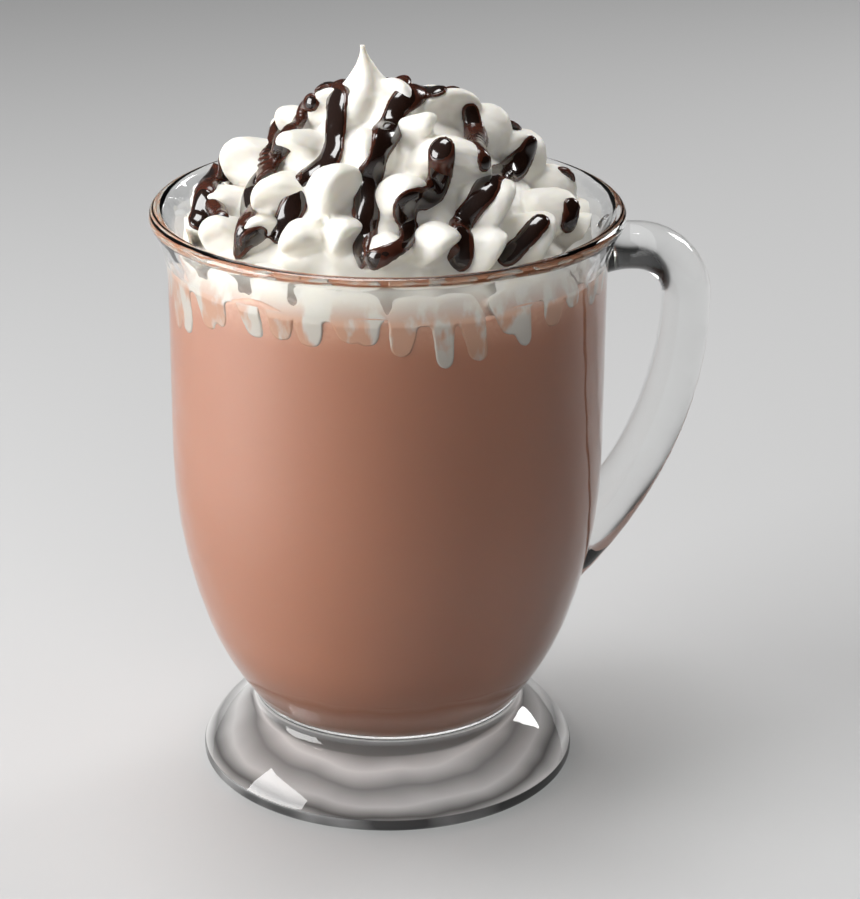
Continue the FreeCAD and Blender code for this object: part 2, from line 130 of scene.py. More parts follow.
def turn(name, profile, sides=TURNED_SIDES):
    """A profile of (radius, height) turned about Z. Its first and last points lie on the axis."""
    middle = profile[1:-1]
    points = [(0, 0, profile[0][1]), (0, 0, profile[-1][1])]
    for radius, height in middle:
        for side in range(sides):
            angle = 2 * math.pi * side / sides
            points.append((radius * math.cos(angle), radius * math.sin(angle), height))
    faces = []
    for side in range(sides):
        after = (side + 1) % sides
        faces.append((0, 2 + after, 2 + side))
        for ring in range(len(middle) - 1):
            low, high = 2 + ring * sides, 2 + (ring + 1) * sides
            faces.append((low + side, low + after, high + after, high + side))
        last = 2 + (len(middle) - 1) * sides
        faces.append((last + side, last + after, 1))
    return make_object(name, points, faces)


def tube(path, section):
    """Points and faces of a closed tube: section(index) gives the ring round each point of the path."""
    rings = [section(i) for i in range(len(path))]
    around = len(rings[0])
    points = [p for ring in rings for p in ring]
    faces = []
    for i in range(len(rings) - 1):
        for j in range(around):
            k = (j + 1) % around
            low, high = i * around, (i + 1) * around
            faces.append((low + j, low + k, high + k, high + j))
    faces.append(tuple(reversed(range(around))))
    faces.append(tuple((len(rings) - 1) * around + j for j in range(around)))
    return points, faces


def apply_modifiers(thing):
    """Makes a thing's modifiers part of its mesh."""
    graph = bpy.context.evaluated_depsgraph_get()
    mesh = bpy.data.meshes.new_from_object(thing.evaluated_get(graph))
    thing.modifiers.clear()
    thing.data = mesh


def combine(thing, other, operation):
    """A boolean of two things. The other one is used up."""
    modifier = thing.modifiers.new("combine", "BOOLEAN")
    modifier.operation = operation
    modifier.object = other
    modifier.solver = "EXACT"
    apply_modifiers(thing)
    bpy.data.objects.remove(other)


def one_skin(thing, voxel, rounds):
    """Joins overlapping closed shapes into one skin and softens it."""
    remesh = thing.modifiers.new("skin", "REMESH")
    remesh.mode = "VOXEL"
    remesh.voxel_size = voxel * MM
    soften = thing.modifiers.new("soften", "SMOOTH")
    soften.factor = 0.5
    soften.iterations = rounds
    apply_modifiers(thing)
    thing.data.polygons.foreach_set("use_smooth", [True] * len(thing.data.polygons))


def reshape(thing, move):
    """Moves each vertex of a mesh to what move makes of its place and its normal, in millimetres."""
    mesh = thing.data
    normals = [Vector(vertex.normal) for vertex in mesh.vertices]
    places = [move(vertex.co / MM, normal) for vertex, normal in zip(mesh.vertices, normals)]
    mesh.vertices.foreach_set("co", [c * MM for place in places for c in place])
    mesh.update()


# ---------------------------------------------------------------- glass outline


RIM_ROUND = WALL / 2
FLARE_LEAN = (FLARE - (RIM_RADIUS - BODY_RADIUS) + RIM_ROUND) / (FLARE + RIM_ROUND)
FLARE_ANGLE = math.acos(FLARE_LEAN)
FLARE_START = RIM_HEIGHT - RIM_ROUND - (FLARE + RIM_ROUND) * math.sin(FLARE_ANGLE)
BOWL_ANGLE = math.asin((BOWL_HEIGHT - BASE_HEIGHT) / BOWL_CURVE)
BOWL_CENTRE = (BODY_RADIUS - BOWL_CURVE, BOWL_HEIGHT)
FLARE_CENTRE = (BODY_RADIUS + FLARE, FLARE_START)
SIDE_STEPS = 8


def bowl_join(inset):
    """Where the bowl's side meets its base curve, this far in from the outside."""
    radius = BOWL_CURVE - inset
    return (
        BOWL_CENTRE[0] + radius * math.cos(BOWL_ANGLE),
        BOWL_CENTRE[1] - radius * math.sin(BOWL_ANGLE),
    )


def straight_side(radius):
    """The bowl's straight stretch, in short steps."""
    rise = (FLARE_START - BOWL_HEIGHT) / SIDE_STEPS
    return [(radius, BOWL_HEIGHT + rise * i) for i in range(1, SIDE_STEPS)]


def room_side(inset):
    """The inside of the bowl from the middle of its floor up to the end of its flare."""
    join = bowl_join(inset)
    floor = FLOOR - (WALL - inset)
    radius = (join[1] - floor) / (1 - math.sin(BOWL_ANGLE))
    centre = (join[0] - radius * math.cos(BOWL_ANGLE), floor + radius)
    points = [(0, floor), (centre[0] / 2, floor)]
    points += arc(centre, radius, -math.pi / 2, -BOWL_ANGLE)
    points += arc(BOWL_CENTRE, BOWL_CURVE - inset, -BOWL_ANGLE, 0)[1:]
    points += straight_side(BODY_RADIUS - inset)
    points += arc(FLARE_CENTRE, FLARE + inset, math.pi, math.pi - FLARE_ANGLE)
    return points


def inner_radius(height):
    """The bowl's inside radius at a height above its lower curve."""
    if height <= FLARE_START:
        if height >= BOWL_HEIGHT:
            return INNER_RADIUS
        return BOWL_CENTRE[0] + math.sqrt((BOWL_CURVE - WALL) ** 2 - (BOWL_HEIGHT - height) ** 2)
    reach = FLARE + WALL
    rise = min(height - FLARE_START, reach * math.sin(FLARE_ANGLE))
    return FLARE_CENTRE[0] - math.sqrt(reach**2 - rise**2)


def meeting_point(first, first_reach, second, second_reach):
    """The point at those distances from two others, on the side nearer to the axis and the table."""
    gap = math.dist(first, second)
    along = (first_reach**2 - second_reach**2 + gap**2) / (2 * gap)
    aside = math.sqrt(first_reach**2 - along**2)
    unit = ((second[0] - first[0]) / gap, (second[1] - first[1]) / gap)
    return (
        first[0] + along * unit[0] - aside * unit[1],
        first[1] + along * unit[1] + aside * unit[0],
    )


# Small steps that keep points apart: an angle off the axis, and a length past the hollow's edge
OFF_AXIS = 1e-3
RING_START = 0.3


def glass_outline():
    """Hollow under the foot, foot, neck, bowl, rim, and back down inside to the floor."""
    recess = FOOT_RADIUS - FOOT_RING
    hollow = (recess**2 + RECESS_DEPTH**2) / (2 * RECESS_DEPTH)
    hollow_angle = math.asin(recess / hollow)
    join = bowl_join(0)
    base_centre = (
        join[0] - BASE_CURVE * math.cos(BOWL_ANGLE),
        join[1] + BASE_CURVE * math.sin(BOWL_ANGLE),
    )
    cove_across = NECK_RADIUS + NECK_COVE - base_centre[0]
    cove_fall = math.sqrt((BASE_CURVE + NECK_COVE) ** 2 - cove_across**2)
    cove = (NECK_RADIUS + NECK_COVE, base_centre[1] - cove_fall)
    cove_angle = math.atan2(cove_fall, cove_across)
    edge = (FOOT_RADIUS - FOOT_EDGE, FOOT_LIFT)
    dome = meeting_point(edge, FOOT_DOME - FOOT_EDGE, cove, FOOT_DOME + NECK_COVE)
    arris = (FOOT_RADIUS - FOOT_ARRIS, FOOT_ARRIS)
    rim = (RIM_RADIUS - RIM_ROUND, RIM_HEIGHT - RIM_ROUND)

    points = [(0, RECESS_DEPTH)]
    points += arc((0, RECESS_DEPTH - hollow), hollow, math.pi / 2 - OFF_AXIS, math.pi / 2 - hollow_angle)
    points += [(recess + RING_START, 0.0), (recess + FOOT_RING / 2, 0.0)]
    points += arc(arris, FOOT_ARRIS, -math.pi / 2, 0)
    points += arc(edge, FOOT_EDGE, 0, bearing(dome, edge))
    points += arc(dome, FOOT_DOME, bearing(dome, edge), bearing(dome, cove))[1:]
    points += arc(cove, NECK_COVE, math.pi + bearing(dome, cove), math.pi - cove_angle)[1:]
    points += arc(base_centre, BASE_CURVE, -cove_angle, -BOWL_ANGLE)[1:]
    points += arc(BOWL_CENTRE, BOWL_CURVE, -BOWL_ANGLE, 0)[1:]
    points += straight_side(BODY_RADIUS)
    points += arc(FLARE_CENTRE, FLARE, math.pi, math.pi - FLARE_ANGLE)
    points += arc(rim, RIM_ROUND, -FLARE_ANGLE, math.pi - FLARE_ANGLE)[1:]
    points += list(reversed(room_side(WALL)))[1:]
    return points


HANDLE_SIDES = 56
HANDLE_STEPS = (0, 1, 2, 3.2, 4.4, 5.8)
# How much wider the handle is at its ends, as a share, and over what length that fades
SPREAD_TOP, SPREAD_TOP_RUN = 0.3, 6.5
SPREAD_LOW, SPREAD_LOW_RUN = 0.16, 30
CREASE = math.radians(35)


def make_handle():
    """The handle: an oval tube along a line, a bend and one long curve, wider where it meets the bowl."""
    top = RIM_HEIGHT - HANDLE_DROP
    out = BODY_RADIUS + HANDLE_REACH
    inwards = HANDLE_REACH + HANDLE_BITE
    fall = top - HANDLE_BEND - HANDLE_ROOT
    curve = (inwards**2 + fall**2) / (2 * inwards)
    path = [(BODY_RADIUS - WALL / 2 + step, top) for step in HANDLE_STEPS]
    path += arc((out - HANDLE_BEND, top - HANDLE_BEND), HANDLE_BEND, math.pi / 2, 0)
    path += arc((out - curve, top - HANDLE_BEND), curve, 0, -2 * math.atan(inwards / fall))[1:]
    lengths = [0.0]
    for before, after in zip(path, path[1:]):
        lengths.append(lengths[-1] + math.dist(before, after))

    def section(index):
        before, after = path[max(index - 1, 0)], path[min(index + 1, len(path) - 1)]
        run = math.dist(before, after)
        out_across, out_up = (before[1] - after[1]) / run, (after[0] - before[0]) / run
        share = lengths[index] / lengths[-1]
        spread = 1 + SPREAD_TOP * max(0.0, 1 - lengths[index] / SPREAD_TOP_RUN) ** 2
        spread += SPREAD_LOW * max(0.0, 1 - (lengths[-1] - lengths[index]) / SPREAD_LOW_RUN) ** 2
        depth = (HANDLE_DEPTH + (HANDLE_DEPTH_LOW - HANDLE_DEPTH) * share) / 2 * spread
        width = HANDLE_WIDTH / 2 * spread
        ring = []
        for side in range(HANDLE_SIDES):
            angle = 2 * math.pi * side / HANDLE_SIDES
            across, along = width * math.cos(angle), depth * math.sin(angle)
            ring.append((path[index][0] + along * out_across, across, path[index][1] + along * out_up))
        return ring

    return make_object("handle", *tube(path, section))


def make_glass():
    """The pressed glass mug in one piece, handle included."""
    glass = turn("glass_mug", glass_outline())
    handle = make_handle()
    middle = turn("middle_of_wall", room_side(WALL / 2) + [(0, RIM_HEIGHT)])
    combine(handle, middle, "DIFFERENCE")
    combine(glass, handle, "UNION")
    glass.data.set_sharp_from_angle(angle=CREASE)
    return glass


# ---------------------------------------------------------------- drink


# Between these heights the drink shows between the fingers of cream
FRINGE_LOW, FRINGE_HIGH = 109.0, 115.5
# The circle through the noise that shapes the fringe: its radius, and its height in the noise
FRINGE_WAVES, FRINGE_SEED = 2.4, 4.0
# How far below the level the bowl's outline gives way to the film's own rows
SIDE_STOP = 2
FILM_ROWS = 10
FILM_THICKNESS, FILM_FOOT = 1.5, 4


def fringe_height(angle):
    """How high the drink shows at this angle round the wall."""
    place = Vector((math.cos(angle) * FRINGE_WAVES, math.sin(angle) * FRINGE_WAVES, FRINGE_SEED))
    return FRINGE_LOW + (FRINGE_HIGH - FRINGE_LOW) * (0.5 + 0.5 * noise.noise(place))


def make_drink():
    """The drink up to its level, and the film of it that stands higher against the glass."""
    side = [p for p in room_side(WALL - DRINK_REACH) if p[1] < LEVEL - SIDE_STOP]
    rise = FILM_ROWS - 1
    profile = side + [(INNER_RADIUS + DRINK_REACH, LEVEL + i) for i in range(FILM_ROWS)]
    profile += [(INNER_RADIUS - FILM_THICKNESS, LEVEL + rise), (INNER_RADIUS - FILM_FOOT, LEVEL), (0, LEVEL)]
    drink = turn("hot_chocolate", profile)

    def lift(place, _):
        if place.z > LEVEL:
            top = fringe_height(math.atan2(place.y, place.x))
            place.z = LEVEL + (top - LEVEL) * (place.z - LEVEL) / rise
        return place

    reshape(drink, lift)
    return drink


# ---------------------------------------------------------------- cream


def add_tube(shapes, path, section):
    """Adds a closed tube to shapes."""
    points, faces = shapes
    new_points, new_faces = tube(path, section)
    first = len(points)
    points += new_points
    faces += [tuple(first + i for i in face) for face in new_faces]


SIGHT_PITCH = math.radians(22)
SIGHT_START = 0.2


def on_skin(tree, across, height, side):
    """Where a line of sight from the front (side 1) or the back (side -1) first meets a surface."""
    slope = Vector((0, math.cos(SIGHT_PITCH) * side, -math.sin(SIGHT_PITCH)))
    start = Vector((across, 0, height)) * MM - slope * SIGHT_START
    place, normal, _, _ = tree.ray_cast(start, slope)
    return (place / MM, normal) if place else None


PETAL_ROWS, PETAL_SIDES = 16, 28
# A fold's half thickness, ridge and overhang as shares of its width, and how blunt its ends are
THICKNESS = 0.62
RIDGE = 0.13
OVERHANG = 0.30
BLUNTNESS, END_SIZE = 2.4, 0.004
# How far the middle of a fold stands out, how much it bends sideways for its width, and how deep it sits
BULGE = 1.9
CURL = 0.16
SINK = 0.4


def petal(shapes, place, normal, along, length, width, curl):
    """One fold of the piped rope, lying on the mound: long, bent, and ridged down its back."""
    aside = normal.cross(along)
    thick = width * THICKNESS
    path = []
    for row in range(PETAL_ROWS + 1):
        t = 2 * row / PETAL_ROWS - 1
        arch = 1 - t * t
        path.append(place + along * (length / 2 * t) + normal * BULGE * arch + aside * curl * arch)

    def section(index):
        t = 2 * index / PETAL_ROWS - 1
        size = max(1 - abs(t) ** BLUNTNESS, END_SIZE) ** 0.5
        ring = []
        for side in range(PETAL_SIDES):
            turned = 2 * math.pi * side / PETAL_SIDES
            ridge = size * (1 + RIDGE * math.cos(3 * (turned - math.pi / 2)))
            fold = OVERHANG * width * size * max(math.sin(turned), 0) ** 2
            ring.append(
                path[index]
                - aside * (width / 2 * ridge * math.cos(turned) + fold)
                + normal * thick * ridge * math.sin(turned)
            )
        return ring

    add_tube(shapes, path, section)


# Folds seen from the front, as (across, height) at the mug's middle plane, length, width and tilt in degrees
FRONT_PETALS = [
    (-20, 139.0, 14, 7.5, 35),
    (-10, 140.5, 12, 6.5, 75),
    (2, 141.5, 12, 7.0, -80),
    (12, 139.5, 17, 8.0, -62),
    (6, 134.5, 8.0, 7.0, 40),
    (-28, 129.5, 17, 11.5, 58),
    (-16.5, 131.5, 9.5, 7.5, 30),
    (-3, 130.5, 11, 7.0, -70),
    (12, 127.0, 17, 11.5, -28),
    (23, 132.0, 12, 8.5, -50),
    (33, 127.0, 12, 8.5, -75),
    (-9.5, 121.5, 13, 10.0, 68),
    (-20, 121.0, 13, 9.0, 40),
    (-34.5, 121.5, 12, 8.0, 65),
    (3, 120.5, 11, 8.0, 35),
    (19, 119.0, 14, 9.5, 42),
    (30.5, 118.5, 13, 9.0, 30),
    (-39, 114.5, 9, 7.0, 70),
    (-31, 112.5, 11, 8.5, 40),
    (-24, 113.5, 10, 7.0, 60),
    (-16, 111.5, 10, 7.5, 25),
    (-8, 112.5, 9, 7.0, 50),
    (0, 108.5, 10, 7.0, 15),
    (9, 110.5, 11, 7.5, 30),
    (18, 109.5, 12, 7.5, 40),
    (27, 111.5, 15, 9.5, 35),
    (37, 114.0, 11, 7.5, 50),
]

# Tiers round the back: folds in the ring, first angle, radius, height, length, width, tilt in degrees
TIERS = [
    (16, 0.10, 37.0, 114.5, 12, 8.0, 40),
    (15, 0.25, 33.5, 120.5, 13, 8.5, 48),
    (12, 0.30, 27.5, 127.5, 14, 9.5, 52),
    (9, 0.05, 19.5, 134.0, 14, 9.0, 55),
    (6, 0.55, 11.5, 139.5, 12, 7.5, 62),
]
TIER_LIFT = math.radians(48)
TIER_INSET = 1.5
# How unevenly these folds lie: shares of a step round the ring, heights, sizes and tilts
TIER_SHIFTS = (-0.15, 0.15)
TIER_RISES = (-1.2, 1.2)
TIER_SIZES = (0.85, 1.2)
TIER_TILTS = (-14, 14)
# Rings stop where the chosen folds in front begin, as the sine of the angle round the mug
FRONT_START = -0.12


def tilted(normal, angle):
    """A direction lying on the surface, at this angle from level."""
    level = UP.cross(normal).normalized()
    steep = normal.cross(level)
    return level * math.cos(angle) + steep * math.sin(angle)


def make_mound(shapes, tree, dice):
    """Slanted folds over the smooth core: chosen ones in front, and uneven rings of them round the back."""
    for across, height, length, width, tilt in FRONT_PETALS:
        found = on_skin(tree, across, height, 1)
        if found:
            place, normal = found
            along = tilted(normal, math.radians(tilt))
            petal(shapes, place - normal * SINK, normal, along, length, width, width * CURL)
    for folds, start, radius, height, length, width, tilt in TIERS:
        for fold in range(folds):
            angle = 2 * math.pi * (fold + dice.uniform(*TIER_SHIFTS)) / folds + start
            if math.sin(angle) < FRONT_START:
                continue
            outward = Vector((math.cos(angle), math.sin(angle), 0))
            normal = outward * math.cos(TIER_LIFT) + UP * math.sin(TIER_LIFT)
            place = outward * (radius - TIER_INSET) + Vector((0, 0, height + dice.uniform(*TIER_RISES)))
            size = dice.uniform(*TIER_SIZES)
            along = tilted(normal, math.radians(tilt + dice.uniform(*TIER_TILTS)))
            petal(shapes, place, normal, along, length * size, width * size, width * CURL)


# The smooth heart of the mound, as (radius, height)
CORE_OUTLINE = [
    (0, 104.2),
    (40.2, 104.2),
    (40.9, 108),
    (40.6, 112.5),
    (37.5, 116.5),
    (33, 119.5),
    (28, 126),
    (21, 132.5),
    (14.5, 138),
    (8, 141.5),
    (0, 143.5),
]
CORE_SIDES = 64


def make_core(shapes):
    """Adds the heart of the mound. Gives a tree for finding places on it."""
    core = turn("core", CORE_OUTLINE, CORE_SIDES)
    tree = BVHTree.FromObject(core, bpy.context.evaluated_depsgraph_get())
    points, faces = shapes
    first = len(points)
    points += [v.co / MM for v in core.data.vertices]
    faces += [tuple(first + i for i in face.vertices) for face in core.data.polygons]
    bpy.data.objects.remove(core)
    return tree


# The tip's end lies this far across, and its foot this share of that
TIP_ACROSS = -5.0
TIP_FOOT_SHARE, TIP_LEAN_SHARE = 0.55, 0.45
# The tip is drawn a little too high, for softening takes some off
TIP_SPARE = 0.6
PEAK_ROWS, PEAK_SIDES = 34, 60
# Flutes down the tip: how many, how far they turn, where they start, and how sharp and deep they are
FLUTES, FLUTE_TURN, FLUTE_START = 5, 1.6, 0.4
FLUTE_SHARPNESS, FLUTE_DEPTH, FLUTE_DEPTH_MOST = 0.8, 0.07, 0.34
# The pulled tip's radius at heights above its foot
PEAK_OUTLINE = [(0, 12.5), (4, 10.5), (7.5, 7.0), (10, 4.2), (12, 2.6), (14, 1.55), (15.6, 0.95), (17.5, 0.7)]


def make_peak(shapes):
    """The pulled tip: a fluted cone with hollow sides that twists as it rises."""
    rise = PEAK_OUTLINE[-1][0]
    foot = TIP_HEIGHT - rise + TIP_SPARE
    path = []
    for row in range(PEAK_ROWS + 1):
        across = TIP_ACROSS * (TIP_FOOT_SHARE + TIP_LEAN_SHARE * row / PEAK_ROWS)
        path.append(Vector((across, 0, foot + rise * row / PEAK_ROWS)))

    def section(index):
        height = rise * index / PEAK_ROWS
        radius = PEAK_OUTLINE[-1][1]
        for (low, at_low), (high, at_high) in zip(PEAK_OUTLINE, PEAK_OUTLINE[1:]):
            if low <= height < high:
                radius = at_low + (at_high - at_low) * (height - low) / (high - low)
        depth = min(FLUTE_DEPTH_MOST, FLUTE_DEPTH * radius)
        ring = []
        for side in range(PEAK_SIDES):
            angle = 2 * math.pi * side / PEAK_SIDES
            wave = FLUTES / 2 * (angle - FLUTE_TURN * index / PEAK_ROWS) + FLUTE_START
            across = radius * (1 - depth + depth * abs(math.cos(wave)) ** FLUTE_SHARPNESS)
            ring.append(path[index] + Vector((math.cos(angle), math.sin(angle), 0)) * across)
        return ring

    add_tube(shapes, path, section)


# Narrow fingers that run down the glass, and how they vary. Their feet also lie lower on one side.
FINGERS = 42
FINGER_SHIFTS = (-0.28, 0.28)
FINGER_FEET = (-3.5, 3.5)
FINGER_FEET_SLOPE = 2.0
FINGER_TOPS = (114.0, 117.0)
FINGER_WIDTHS = (2.2, 3.1)
FINGER_LEANS = (-0.5, 3.6)
# Broader lobes above them
LOBES = 26
LOBE_SHIFTS = (-0.25, 0.25)
LOBE_FEET = (110.5, 113.0)
LOBE_RISES = (6.0, 8.0)
LOBE_WIDTHS = (4.2, 5.8)
LOBE_LEANS = (1.0, 4.0)
PRESS_ROWS, PRESS_SIDES = 12, 14
# How far in from the wall a finger's middle lies, its half depth, and how square and how tapered it is
PRESS_INSET = 0.7
PRESS_DEPTH = 2.6
PRESS_SQUARENESS, PRESS_END_SIZE = 5, 0.01
PRESS_TOP, PRESS_TAPER = 1.15, 0.3


def make_pressed(shapes, dice):
    """Fingers and lobes of cream pressed against the inside of the glass, below the rim."""
    for finger in range(FINGERS):
        angle = 2 * math.pi * (finger + dice.uniform(*FINGER_SHIFTS)) / FINGERS
        low = LEVEL + dice.uniform(*FINGER_FEET) + FINGER_FEET_SLOPE * math.cos(angle)
        high = dice.uniform(*FINGER_TOPS)
        press(shapes, angle, low, high, dice.uniform(*FINGER_WIDTHS), dice.uniform(*FINGER_LEANS))
    for lobe in range(LOBES):
        angle = 2 * math.pi * (lobe + dice.uniform(*LOBE_SHIFTS)) / LOBES
        low = dice.uniform(*LOBE_FEET)
        high = low + dice.uniform(*LOBE_RISES)
        press(shapes, angle, low, high, dice.uniform(*LOBE_WIDTHS), dice.uniform(*LOBE_LEANS))


def press(shapes, angle, low, high, width, lean):
    """One finger of cream along the wall, from high down to low. The wall flattens it later."""
    path = []
    for row in range(PRESS_ROWS + 1):
        share = row / PRESS_ROWS
        height = high + (low - high) * share
        turned = angle + lean * (share - 0.5) / INNER_RADIUS
        radius = inner_radius(height) - PRESS_INSET
        path.append(Vector((radius * math.cos(turned), radius * math.sin(turned), height)))

    def section(index):
        share = index / PRESS_ROWS
        outward = Vector((path[index].x, path[index].y, 0)).normalized()
        sideways = Vector((-outward.y, outward.x, 0))
        size = max(1 - abs(2 * share - 1) ** PRESS_SQUARENESS, PRESS_END_SIZE) ** 0.5
        size *= PRESS_TOP - PRESS_TAPER * share
        ring = []
        for side in range(PRESS_SIDES):
            turned = 2 * math.pi * side / PRESS_SIDES
            ring.append(
                path[index]
                + sideways * width * size * math.cos(turned)
                + outward * PRESS_DEPTH * min(size, 1) * math.sin(turned)
            )
        return ring

    add_tube(shapes, path, section)


# Up in the flare the cream leaves the wall: from this far above the flare's start, by this much a millimetre
PART_HEIGHT, PART_SLOPE = 4, 0.45


def keep_inside(place, reach):
    """Brings what would stand out past the glass back to the inside of the wall."""
    across = math.hypot(place.x, place.y)
    if place.z > RIM_HEIGHT or across < 1:
        return place
    limit = inner_radius(place.z) + reach
    limit -= max(place.z - FLARE_START - PART_HEIGHT, 0) * PART_SLOPE
    if across <= limit:
        return place
    return Vector((place.x * limit / across, place.y * limit / across, place.z))


# The cream's unevenness: how high its waves are, and how many there are in a millimetre
BROAD_WAVE, BROAD_RATE = 0.35, 0.16
FINE_WAVE, FINE_RATE = 0.10, 0.7
CREAM_VOXEL, CREAM_SOFTENING = 0.5, 2
CREAM_SEED = 11


def cream_skin(place, normal):
    """Small unevenness of soft cream, kept inside the glass."""
    shift = BROAD_WAVE * noise.noise(place * BROAD_RATE) + FINE_WAVE * noise.noise(place * FINE_RATE)
    place = keep_inside(place + normal * shift, CREAM_REACH)
    place.z = min(place.z, TIP_HEIGHT)
    return place


def make_cream():
    """The whipped cream in one skin, pressed flat where it meets the glass."""
    dice = random.Random(CREAM_SEED)
    shapes = ([], [])
    tree = make_core(shapes)
    make_mound(shapes, tree, dice)
    make_peak(shapes)
    make_pressed(shapes, dice)
    cream = make_object("whipped_cream", *shapes)
    one_skin(cream, CREAM_VOXEL, CREAM_SOFTENING)
    reshape(cream, cream_skin)
    return cream


# ---------------------------------------------------------------- sauce


# Lines of the drizzle, each as its half width and (across, height) at the mug's middle plane, seen from a
# little above
FRONT_LINES = [
    (2.6, [(-34, 130.5), (-37, 127), (-35.5, 121.5), (-38, 116)]),
    (2.0, [(-35.5, 121.5), (-32, 120), (-33, 115.5)]),
    (1.9, [(-14, 143), (-17, 142.5), (-17.5, 138), (-19.5, 135), (-20.5, 132), (-23, 130.5), (-24.5, 128)]),
    (2.3, [(-24.5, 128), (-27.5, 126), (-27, 119), (-27, 113.5), (-29, 109.5)]),
    (2.4, [(-28, 112), (-24, 114.5)]),
    (2.7, [(-8.5, 147.5), (-10, 143), (-9.5, 138), (-10.5, 133), (-10, 130), (-12, 128.5)]),
    (2.5, [(-12, 128.5), (-15, 127), (-17, 122.5), (-19, 117.5), (-21, 113)]),
    (2.4, [(11, 144), (5.5, 146), (5, 143), (0.5, 141), (1.5, 137), (-1.5, 133), (-2, 128), (-4, 125)]),
    (2.3, [(-4, 125), (-4, 119), (-4.5, 112), (-4.5, 107)]),
    (2.5, [(10.5, 132), (10.5, 128.5), (10, 123.5), (7.5, 120), (4, 121.5), (2, 119.5), (4, 116)]),
    (1.8, [(4, 116), (4.5, 111), (0, 108.5), (-4, 107)]),
    (1.9, [(16, 142.5), (16.5, 139), (18, 135.5), (17, 132), (19, 126.5)]),
    (2.5, [(28.5, 135.5), (28, 133), (25.5, 129), (22, 127), (20, 124), (17, 119), (14, 116)]),
    (2.6, [(14, 116), (14, 112), (14, 107)]),
    (2.1, [(30.5, 117), (27.5, 113.5), (24.5, 109.5), (22, 108)]),
    (1.8, [(36, 121.5), (36.5, 119), (35, 115.5)]),
]
BACK_LINES = [
    (2.2, [(-32, 128), (-33, 122), (-30, 117)]),
    (2.3, [(-24, 136), (-23, 130), (-19, 124), (-20, 117)]),
    (2.4, [(-12, 143), (-13, 136), (-9, 130), (-11, 123), (-9, 115)]),
    (2.4, [(1, 146), (0, 140), (3, 134), (1, 128), (4, 121), (3, 114)]),
    (2.3, [(12, 143), (14, 136), (12, 130), (16, 123), (15, 116)]),
    (2.2, [(24, 136), (26, 129), (24, 122), (28, 116)]),
    (2.0, [(36, 124), (35, 118)]),
]


# Steps along a line, and where it drops from one fold to the next. Longer drops are left open.
LINE_STEP = 0.6
BRIDGE_STEP = 0.7
LONGEST_BRIDGE = 9
# A point is averaged with this many on either side, and lifted this much
EASING = 4
EASED_LIFT = 0.2
# How much a line swells and thins, as a share, and how quickly
SWELL, SWELL_RATE = 0.38, 0.14
BEAD_ROWS, BEAD_SIDES = 6, 12
SAUCE_VOXEL, SAUCE_SOFTENING = 0.35, 14
SAUCE_SEED = 5


def even_steps(line, step):
    """Points along a line at even steps, its corners rounded."""
    rounded = list(line)
    for _ in range(2):
        cut = [rounded[0]]
        for (ax, ay), (bx, by) in zip(rounded, rounded[1:]):
            cut.append((ax * 0.75 + bx * 0.25, ay * 0.75 + by * 0.25))
            cut.append((ax * 0.25 + bx * 0.75, ay * 0.25 + by * 0.75))
        rounded = cut + [rounded[-1]]
    points = []
    for a, b in zip(rounded, rounded[1:]):
        count = max(1, round(math.dist(a, b) / step))
        points += [(a[0] + (b[0] - a[0]) * i / count, a[1] + (b[1] - a[1]) * i / count) for i in range(count)]
    return points + [rounded[-1]]


def bead(shapes, centre, normal, radius, flat):
    """A small ball, flattened along a normal."""
    points, faces = shapes
    first = len(points)
    offsets = [UP * radius]
    for row in range(1, BEAD_ROWS):
        polar = math.pi * row / BEAD_ROWS
        for side in range(BEAD_SIDES):
            angle = 2 * math.pi * side / BEAD_SIDES
            spot = (math.sin(polar) * math.cos(angle), math.sin(polar) * math.sin(angle), math.cos(polar))
            offsets.append(Vector(spot) * radius)
    offsets.append(UP * -radius)
    points += [centre + offset - normal * offset.dot(normal) * (1 - flat) for offset in offsets]
    last = len(points) - 1
    for side in range(BEAD_SIDES):
        after = (side + 1) % BEAD_SIDES
        faces.append((first, first + 1 + side, first + 1 + after))
        for row in range(BEAD_ROWS - 2):
            low = first + 1 + row * BEAD_SIDES
            faces.append((low + side, low + BEAD_SIDES + side, low + BEAD_SIDES + after, low + after))
        low = last - BEAD_SIDES
        faces.append((low + side, last, low + after))


def drizzle(tree, line, side):
    """A line of the drizzle laid on the cream, as places and normals, with short drops bridged."""
    laid = []
    for across, height in even_steps(line, LINE_STEP):
        found = on_skin(tree, across, height, side)
        if not found:
            continue
        if laid:
            before, tipped = laid[-1]
            gap = (found[0] - before).length
            steps = int(gap / BRIDGE_STEP) if gap <= LONGEST_BRIDGE else 0
            for step in range(1, steps):
                normal = (tipped * (1 - step / steps) + found[1] * (step / steps)).normalized()
                laid.append((before.lerp(found[0], step / steps), normal))
        laid.append(found)
    return eased(eased(laid))


def eased(laid):
    """The same places and normals, each averaged with its neighbours, as thick sauce would lie."""
    soft = []
    for at in range(len(laid)):
        near = laid[max(at - EASING, 0) : at + EASING + 1]
        place = sum((spot for spot, _ in near), Vector()) / len(near)
        normal = sum((way for _, way in near), Vector()).normalized()
        soft.append((place + normal * EASED_LIFT, normal))
    return soft


